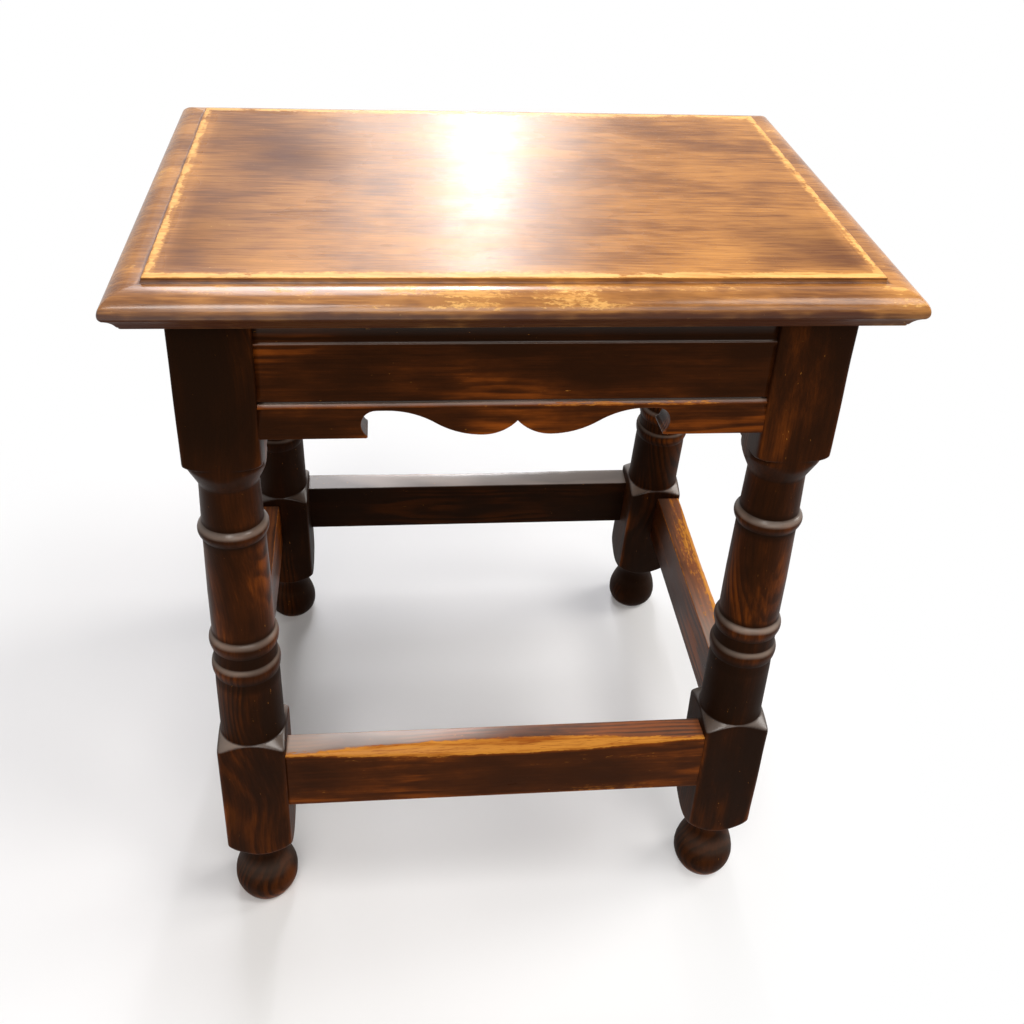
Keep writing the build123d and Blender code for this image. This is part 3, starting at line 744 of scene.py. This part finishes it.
def build_leg(name, side, end, seed, heart_turn, drift, darkening, swell):
    """One leg: side is -1 at the left and 1 at the right, end is -1 at the front and 1 at the back.

    The tree's heart lies `heart_turn` degrees round from the right. `drift` is how far the foot and the top stand
    off to the right, and `darkening` how much darker the leg is and, on top of that, its upper block.
    `swell` makes the foot thicker, but not outwards, past the measured size.
    """
    piece = Piece("turned_" + name, oak_frame, "frame_oak")
    angles = leg_angles()
    turn = radians(heart_turn)
    heart = HEART_DEPTH * Vector((cos(turn), sin(turn)))
    rows = []
    for height in leg_heights():
        turned, worn = read_outline(height + 0.5 * MM * wander(seed, height * 7))
        swollen = swell * bump_at(FOOT_MIDDLE, FOOT_MIDDLE, height)
        darkened = darkening[0] + darkening[1] * soft_step(BLOCK_LINE - 22 * MM, BLOCK_LINE + 22 * MM, height)
        low_darkening = LOW_DARKENING * soft_step(260 * MM, 200 * MM, height) * soft_step(2 * MM, 12 * MM, height)
        dust_and_sheen_level = leg_dust_and_sheen(height)
        row = []
        for angle in angles:
            sharpness = 19.0 + 9.0 * wander(seed + 2, height * 20, int(angle / (pi / 2)))
            square = square_radius(angle, sharpness)
            uneven = 0.004 * wander(seed, height * 9, cos(angle), sin(angle))
            thick = turned * (1 + uneven + swollen * (1 - max(-sin(angle), 0.0)))
            radius = soft_least(thick, square, ARRIS_BLEND)
            x, y = radius * cos(angle), radius * sin(angle)
            wear, edge = leg_wear(worn, turned, square, radius, height, angle, seed)
            floor_cut = y * tan(RAKE) * (1 - soft_step(0.0, 14 * MM, height))
            top_cut = y * tan(RAKE) * soft_step(LEG_TOP - 70 * MM, LEG_TOP, height)
            axial = height + floor_cut + top_cut
            place = (
                side * LEG_X + x + drift[0] + (drift[1] - drift[0]) * axial / LEG_TOP,
                end * (FOOT_Y - axial * sin(RAKE) - y * cos(RAKE)),
                axial * cos(RAKE) - y * sin(RAKE),
            )
            sway = HEART_SWAY * sin(SWAY_RATE * axial + seed) * soft_step(60 * MM, 120 * MM, height)
            away = 1 + (HEART_SLANT * (axial - LEG_TOP / 2) + sway) / HEART_DEPTH
            plank = (axial + LEG_START * seed, x - heart.x * away, y - heart.y * away)
            row.append(piece.add(place, plank, wear - darkened - low_darkening * (1 - edge), dust_and_sheen_level=dust_and_sheen_level))
        rows.append(row)
    piece.skin(rows, closed=True)
    piece.cap(rows)
    piece.finish(name)


# Side, end, seed, direction of the heart, drift of foot and top, darkening of leg and upper block, and swelling.
LEGS = {
    "leg_front_left": (-1, -1, 1, 150, (-1.2 * MM, -1.0 * MM), (0.28, 0.55), 0.065),
    "leg_front_right": (1, -1, 2.3, 110, (-1.2 * MM, 0.4 * MM), (0.44, 0.05), 0.02),
    "leg_back_left": (-1, 1, 3.9, 60, (0, 0), (0.85, 0), 0),
    "leg_back_right": (1, 1, 5.2, 200, (0, 0), (0.6, 0.2), 0),
}
for name, traits in LEGS.items():
    build_leg(name, *traits)

# %% [markdown]
# ## Bars between the legs
# Rails and stretchers are flat bars, so they share one way of placing: along the bar, in from the legs' outer
# faces, and up. The front and back bars lean with the legs. The side bars stand upright, with ends cut to the rake.

# %% Place points on the bars
INNER_X = LEG_X - HALF_LEG
HIDDEN_END = 2.0 * MM  # length of each bar's end inside the leg


def leaning_place(end):
    """Maps a point of a front (-1) or back (1) bar, given along the bar, in from the face, and up the leg."""
    def place(along, inward, up):
        across = inward - HALF_LEG
        return (along, end * (FOOT_Y - up * sin(RAKE) - across * cos(RAKE)),
                up * cos(RAKE) - across * sin(RAKE))
    return place


def near(inward, up, *rows):
    """Points near a corner of a bar's section: mm in from it, mm up from it, and wear."""
    return [(inward + i * MM, up + u * MM, wear) for i, u, wear in rows]


def inner_y(height):
    """Half the distance between the inner faces of the front and back legs, at a height."""
    return FOOT_Y - height * tan(RAKE) - HALF_LEG / cos(RAKE)


def upright_place(side, middle, bottom):
    """Maps a point of a left (-1) or right (1) bar. Past `middle` from its centre it follows the legs' rake."""
    def place(along, inward, up):
        ramp = min(max((abs(along) - middle) / (inner_y(bottom) - middle), 0.0), 1.2)
        y = along + copysign((inner_y(up) - inner_y(bottom)) * ramp, along)
        return (side * (LEG_X + HALF_LEG - inward), y, up)
    return place


# %% [markdown]
# ## The rails
# The lower edge of a rail is sawn to two ogees that meet in a cusp, between two brackets. Its face has a flat
# strip along that edge, a groove, a field, and a thin ledge below the plain band under the top. The sawn edge is a
# curve with corners, so the mesh follows it with rows of points on both faces, which also round its arrises, and
# the flat faces are filled between those rows and straight ones.

# %% Saw the rails' lower edge
RAIL_DEPTH = 80.8 * MM
RAIL_FACE = 1.6 * MM
RAIL_BACK = 22.6 * MM
STRIP_HEIGHT = 23.0 * MM
FRIEZE_LINE = RAIL_DEPTH - 19.3 * MM
TIP_ROUND = 3.0 * MM  # from a bracket's sharp tip to where it starts to be worn round
RAIL_HEART = (0.06, 0.02)  # of the tree, in from a rail's lower outer edge, and up
RAIL_START = 1.7  # metres along the plank, times the rail's seed
RAIL_STEPS = 60
# The sawn edge's worn arris: mm into the wood from the edge, mm in from the face, and wear.
EDGE_ROUND = ((0.8, 0, 0.05), (0.22, 0.22, 0.3), (0, 0.8, 0.1))
# The face's mouldings near the strip's upper edge and near the frieze: mm into the wood, mm up, and wear. Wear below
# 0 is painted shade in the groove above the strip and in the frieze under the top's overhang.
STRIP_ROWS = (
    (0, -3, 0), (0, -2.4, 0.25), (0.25, -1.7, 0.42), (1, -0.2, 0.3), (1.5, 0, 0), (2.6, 0.2, -1), (2.6, 1.3, -1),
    (1.5, 1.5, -0.2), (1.2, 1.9, 0.1), (1.2, 5, 0),
)
FRIEZE_ROWS = (
    (1.2, -3, 0), (1.2, -0.8, 0.1), (1.5, -0.1, 0), (2.2, 0, -0.6), (2.2, 1, -0.7), (2.2, 4, -0.6),
)


def sawn_edge(half, lobe, arch, scoop, tip):
    """Lower edge of a rail from its left end to its right end, as distances from the middle and the bottom."""
    lobe_at, arch_at, scoop_at = Vector((lobe, 1.4 * MM)), Vector((arch, 18.4 * MM)), Vector((scoop, 9.2 * MM))
    arch_end = Vector((scoop - (arch_at.y - scoop_at.y), arch_at.y))
    turn = (lobe_at + arch_at) / 2
    right = tangent_arc(lobe_at, (0, 10.8 * MM), (-1, 0))[::-1]
    right += tangent_arc(lobe_at, turn, (1, 0))[1:]
    right += tangent_arc(arch_at, turn, (-1, 0))[::-1][1:]
    right += tangent_arc(arch_end, scoop_at, (1, 0), 7)
    hook = tangent_arc(scoop_at, (tip, 0), (0, -1), 12)[1:]
    tip_at = hook[-1]
    kept = [p for p in hook if (p - tip_at).length > TIP_ROUND]
    start = tip_at + (kept[-1] - tip_at).normalized() * TIP_ROUND
    end = tip_at + Vector((TIP_ROUND, 0))
    right += kept
    right += tangent_arc(start, end, (tip_at - start).normalized(), 8)
    right += [Vector((end.x + (half - end.x) * step / 8, 0.0)) for step in range(1, 9)]
    return [Vector((-p.x, p.y)) for p in right[::-1]] + right[1:]


def edge_normals(edge):
    """At each point of the sawn edge, the direction into the wood, lengthened at corners as a mitre is."""
    normals = []
    for i, point in enumerate(edge):
        before, after = point - edge[max(i - 1, 0)], edge[min(i + 1, len(edge) - 1)] - point
        sides = [v.normalized() for v in (before, after) if v.length > 1e-9]
        inward = [Vector((-v.y, v.x)) for v in sides]
        mean = sum(inward, Vector((0, 0))).normalized()
        normals.append(mean / max(mean.dot(inward[0]), 0.6))
    return normals


# %% Build the rails
def build_rail(name, place, half, shape, bottom, top_at, seed):
    """One rail. `top_at` gives the height of its top edge at a depth, level under the board."""
    piece = Piece("shaped_" + name, oak_frame, "frame_oak")
    edge = sawn_edge(half, *shape)
    normals = edge_normals(edge)

    def point(x, inward, up, wear):
        up_heart = up - RAIL_HEART[1] + 0.05 * sin(seed)
        plank = (x + RAIL_START * seed, up_heart, inward - RAIL_HEART[0])
        return piece.add(place(x, inward, bottom + up), plank, wear)

    def edge_row(offset, inward, wear):
        return [point(p.x + n.x * offset, inward, p.y + n.y * offset, wear) for p, n in zip(edge, normals)]

    across = [half * (2 * i / RAIL_STEPS - 1) for i in range(RAIL_STEPS + 1)]

    def straight_row(inward, up, wear):
        row = []
        for x in across:
            ragged = wear + (0.3 * wander(seed, x * 40, up * 90) if wear > 0.2 else 0.0)
            row.append(point(x, inward, up, ragged))
        return row

    front = [edge_row(o * MM, RAIL_FACE + d * MM, w) for o, d, w in EDGE_ROUND]
    back = [edge_row(o * MM, RAIL_BACK - d * MM, w * 0.5) for o, d, w in reversed(EDGE_ROUND)]
    upper = near(RAIL_FACE, STRIP_HEIGHT, *STRIP_ROWS) + near(RAIL_FACE, FRIEZE_LINE, *FRIEZE_ROWS)
    frieze = upper[-1][0]
    # The frieze's top edge under the board gets the deepest painted shadow of the overhang.
    upper += [(frieze, top_at(frieze), -1.0), (RAIL_BACK, top_at(RAIL_BACK), 0.0)]
    straight = [straight_row(*row) for row in upper]
    piece.skin(front + back)
    piece.skin(straight)
    piece.faces.append(tuple(front[0] + straight[0][::-1]))
    piece.faces.append(tuple(back[-1] + straight[-1][::-1]))
    for i in (0, -1):
        piece.faces.append(tuple(row[i] for row in front[1:] + back[:-1]) + (back[-1][i],)
                           + tuple(row[i] for row in reversed(straight)) + (front[0][i],))
    piece.finish(name)


# Distances from the middle of a rail to its lobe, the top of its arch, its scoop and the tip of its bracket.
LONG_SHAPE = (20.5 * MM, 78.0 * MM, 93.0 * MM, 87.2 * MM)
SHORT_SHAPE = (14.0 * MM, 51.0 * MM, 63.2 * MM, 57.4 * MM)
RAIL_BOTTOM = UNDERSIDE - RAIL_DEPTH
RAKED_BOTTOM = RAIL_BOTTOM / cos(RAKE)


def raked_top(inward):
    """Height of a leaning rail's top above its bottom, level in the room."""
    return LEG_TOP + (inward - HALF_LEG) * tan(RAKE) - RAKED_BOTTOM


for name, end, seed in (("rail_front", -1, 1.0), ("rail_back", 1, 2.0)):
    build_rail(name, leaning_place(end), INNER_X + HIDDEN_END, LONG_SHAPE, RAKED_BOTTOM, raked_top, seed)
for name, side, seed in (("rail_left", -1, 3.0), ("rail_right", 1, 4.0)):
    spot = upright_place(side, SHORT_SHAPE[2], RAIL_BOTTOM)
    build_rail(name, spot, inner_y(RAIL_BOTTOM) + HIDDEN_END, SHORT_SHAPE, RAIL_BOTTOM, lambda d: RAIL_DEPTH, seed)

# %% [markdown]
# ## The stretchers
# Boots rest on the front stretcher, so its outer top arris is worn away to a sagging bevel of bare golden wood, deep
# in the middle and nothing at the legs. The bar is a row of sections along its length: each is a rectangle with
# rounded corners, whose worn corner is cut back by a depth that varies, with a little roughness from knocks.

# %% Model the stretchers
STRETCHER_LOW = 107.0 * MM
STRETCHER_HIGH = 157.0 * MM
STRETCHER_FACE = 1.5 * MM
STRETCHER_BACK = 22.0 * MM
STRETCHER_HEART = (0.05, 0.13)  # of the tree, in from the outer face, and up from the floor
STRETCHER_START = 2.3  # metres along the plank, times the bar's seed
STRETCHER_STEPS = 150


def worn_depth(along, half, deepest, seed):
    """How far the corner is cut back, square to it."""
    share = max(1 - (along / (half - 6 * MM)) ** 2, 0.0)
    knocks = 0.45 * MM * wander(seed, along * 55) + 0.25 * MM * wander(seed + 1, along * 190)
    return max(deepest * share + knocks * (0.3 + share), 0.7 * MM)


def stretcher_section(cut, along, seed, rub, face):
    """Points round the bar: inward, up, wear. `rub` is the wear of the top and `face` that of the outer side."""
    reach = cut * sqrt(2)
    front, back, low, high = STRETCHER_FACE, STRETCHER_BACK, STRETCHER_LOW, STRETCHER_HIGH
    points = near(back, high, (-1, 0, 0.1))
    points += near(front + reach, high, (6, 0, rub * 0.7), (3.5, 0, rub), (1.6, -0.05, 0.6), (0.2, -0.3, 1))
    for step in range(1, 5):
        share = step / 5
        rough = 0.3 * MM * wander(seed + share * 5, along * 120) * min(cut / (3 * MM), 1.0)
        points.append((front + reach * (1 - share) + rough * 0.7, high - reach * share + rough * 0.7, 1.15))
    points += near(front, high - reach, (0.1, -0.3, 1), (0, -1.3, 0.45), (0, -3.5, face))
    points += near(front, low, (0, 3, face), (0, 1, 0.35), (0.3, 0.3, 0.6), (1, 0, 0.3))
    points += near(back, low, (-1, 0, 0), (-0.3, 0.3, 0.3), (0, 1, 0.1))
    points += near(back, high, (0, -1, 0.25), (-0.3, -0.3, 0.6))
    return points


def build_stretcher(name, place, half, deepest, seed, rub=0.1, face=0.0, darkening=0.0, film_cut=0.85):
    """One stretcher, whose worn arris is cut back by up to `deepest`, and which `darkening` makes darker.

    Boots wipe the film of dust and painted sheen off its top, by `film_cut`, but not off its left or front end.
    """
    piece = Piece("bar_" + name, oak_frame, "frame_oak")
    rows = []
    for i in range(STRETCHER_STEPS + 1):
        along = half * (2 * i / STRETCHER_STEPS - 1)
        cut = worn_depth(along, half, deepest, seed)
        row = []
        for inward, up, wear in stretcher_section(cut, along, seed, rub, face):
            plank = (along + STRETCHER_START * seed, up - STRETCHER_HEART[1], inward - STRETCHER_HEART[0])
            worn = wear * (0.55 + 0.45 * min(cut / (2 * MM), 1.0)) - darkening
            dust_and_sheen_level = -film_cut * soft_step(-0.10, 0.02, along + 0.02 * wander(seed, along * 30, inward * 90))
            row.append(piece.add(place(along, inward, up), plank, worn, dust_and_sheen_level=dust_and_sheen_level))
        rows.append(row)
    piece.skin(rows, closed=True)
    piece.cap(rows)
    piece.finish(name)


build_stretcher("stretcher_front", leaning_place(-1), INNER_X + HIDDEN_END, 4.3 * MM, 1.0, face=0.16)
build_stretcher("stretcher_back", leaning_place(1), INNER_X + HIDDEN_END, 1.6 * MM, 2.0, darkening=1.1, film_cut=0.2)
for name, side, seed, rub in (("stretcher_left", -1, 3.0, 0.35), ("stretcher_right", 1, 4.0, 0.6)):
    half = inner_y(STRETCHER_LOW) + HIDDEN_END
    build_stretcher(name, upright_place(side, 60 * MM, STRETCHER_LOW), half, 2.8 * MM, seed, rub)

# %% [markdown]
# ## The screws
# The screws under the top are right as they are measured, so they stay, and only get dull old steel.

# %% Give the screws their steel
OLD_STEEL, TARNISH = rgb(120, 116, 110), rgb(70, 58, 48)
make_steel = Shader(bpy.data.materials.new("old_steel"))
spot = make_steel.node("TexCoord", output="Object")
tarnish = make_steel.noise(spot, 900.0, 3.0)
steel_colour = make_steel.blend(tarnish.between(0.35, 0.7), OLD_STEEL, TARNISH)
steel_finish = make_steel.node(
    "BsdfPrincipled", None,
    **{"Base Color": steel_colour, "Metallic": 1.0, "Roughness": 0.35 + 0.3 * tarnish},
)
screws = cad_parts["top_fixing_screws"]
screws.data.materials.clear()
screws.data.materials.append(make_steel.surface(steel_finish))
print("screws keep", len(screws.data.polygons), "faces")

# %% [markdown]
# ## Floor and light
# Dark polished wood is read by what it reflects. A tall bright window behind the stool lays a glare along the seat.
# A narrow skylight and soft lamps at the left and right draw the highlights on the thumb moulding and the rings. A
# light overhead only fills, and the rest of the room stays dim, so the shaded sides can go nearly black. The floor
# and the far surroundings are white to the eye.

# %% Lay the floor
FLOOR_HALF = 9.0
FLOOR_PAINT = rgb(232, 232, 233)  # what eyes see of it
FLOOR_BOUNCE = rgb(172, 172, 172)  # what it throws back on the stool
FLOOR_GLOW = 0.02
SHADOW_MIDDLE = (-0.14, 0.06, 0.0)
SHADOW_FADE = (0.26, 0.56)  # from its middle to where the shadow starts to fade, and where it has gone
make_floor = Shader(bpy.data.materials.new("white_floor"))
seen = make_floor.seen()
spot = make_floor.node("NewGeometry", output="Position")
spot = make_floor.moved(spot, tuple(-v for v in SHADOW_MIDDLE))
away = make_floor.node("VectorMath", {"operation": "LENGTH"}, spot, output="Value")
floor_paint = make_floor.node(
    "BsdfPrincipled", None,
    **{"Base Color": make_floor.blend(seen, FLOOR_BOUNCE, FLOOR_PAINT), "Roughness": 0.9, "Specular IOR Level": 0.0},
)
floor_glow = make_floor.node("Emission")
glowing = seen * away.between(*SHADOW_FADE).at_least(FLOOR_GLOW)
floor_sum = make_floor.node("MixShader", None, glowing, floor_paint, floor_glow)
floor_mesh = bpy.data.meshes.new("floor")
corners = [(sx * FLOOR_HALF, sy * FLOOR_HALF, 0.0) for sx, sy in ((-1, -1), (1, -1), (1, 1), (-1, 1))]
floor_mesh.from_pydata(corners, [], [(0, 1, 2, 3)])
floor_mesh.materials.append(make_floor.surface(floor_sum))
floor = add_object("floor", floor_mesh)
print("the floor is", 2 * FLOOR_HALF, "m wide")


# %% Light the room
def area_light(name, place, target, size, power, colour):
    """A flat rectangular light that faces a point."""
    data = bpy.data.lights.new(name, "AREA")
    data.shape = "RECTANGLE"
    data.size, data.size_y = size
    data.energy = power
    data.color = colour
    light = add_object(name, data)
    light.location = place
    light.rotation_euler = (Vector(target) - Vector(place)).to_track_quat("-Z", "Y").to_euler()
    return light


MIDDLE, ABOVE_SEAT = (0, 0, 0.35), (0, 0, 0.5)
DAYLIGHT, BLUE_SKY, CEILING, CREAM, AMBER = (
    (0.97, 0.98, 1), (0.93, 0.94, 1), (1, 0.98, 0.96), (1, 0.97, 0.93), (1, 0.95, 0.90))
# Place, what it faces, width and height, power in watts, colour.
LAMPS = {
    "window": ((0.27, 3, 1.95), ABOVE_SEAT, (0.12, 1.5), 22, DAYLIGHT),
    "window_haze": ((0.20, 3.1, 1.9), ABOVE_SEAT, (0.9, 1.6), 25, DAYLIGHT),
    "left_skylight": ((-0.32, 1.55, 2.2), MIDDLE, (0.6, 1.7), 19, BLUE_SKY),
    "overhead": ((0.1, 0.1, 2.6), MIDDLE, (1.2, 1.2), 16, CEILING),
    "right_softbox": ((1.05, -0.45, 2.3), MIDDLE, (0.8, 0.8), 19, CREAM),
    "left_softbox": ((-0.42, -1.15, 2.2), MIDDLE, (0.45, 0.8), 11, AMBER),
    "front_light": ((0.3, -2.2, 2), MIDDLE, (2, 1.3), 31, AMBER),
    "right_window": ((2.1, 0.5, 1.4), MIDDLE, (0.9, 1.1), 24, CREAM),
}
lamps = {name: area_light(name, *traits) for name, traits in LAMPS.items()}
lamps["overhead"].visible_glossy = False  # it only fills, so that the moulding's highlights stay narrow
print("lamps:", ", ".join(lamps))

# %% Dim the room
ROOM_LIGHT = 0.10
world = bpy.data.worlds.new("room")
bpy.context.scene.world = world
make_room = Shader(world)
level = make_room.node("MapRange", None, Value=make_room.seen(), **{"To Min": ROOM_LIGHT})
background = make_room.node("Background", None, Color=(1.0, 1.0, 1.0, 1.0), Strength=level)
make_room.surface(background, "OutputWorld")
print("room light:", ROOM_LIGHT)

bpy.context.scene.view_settings.view_transform = "Standard"
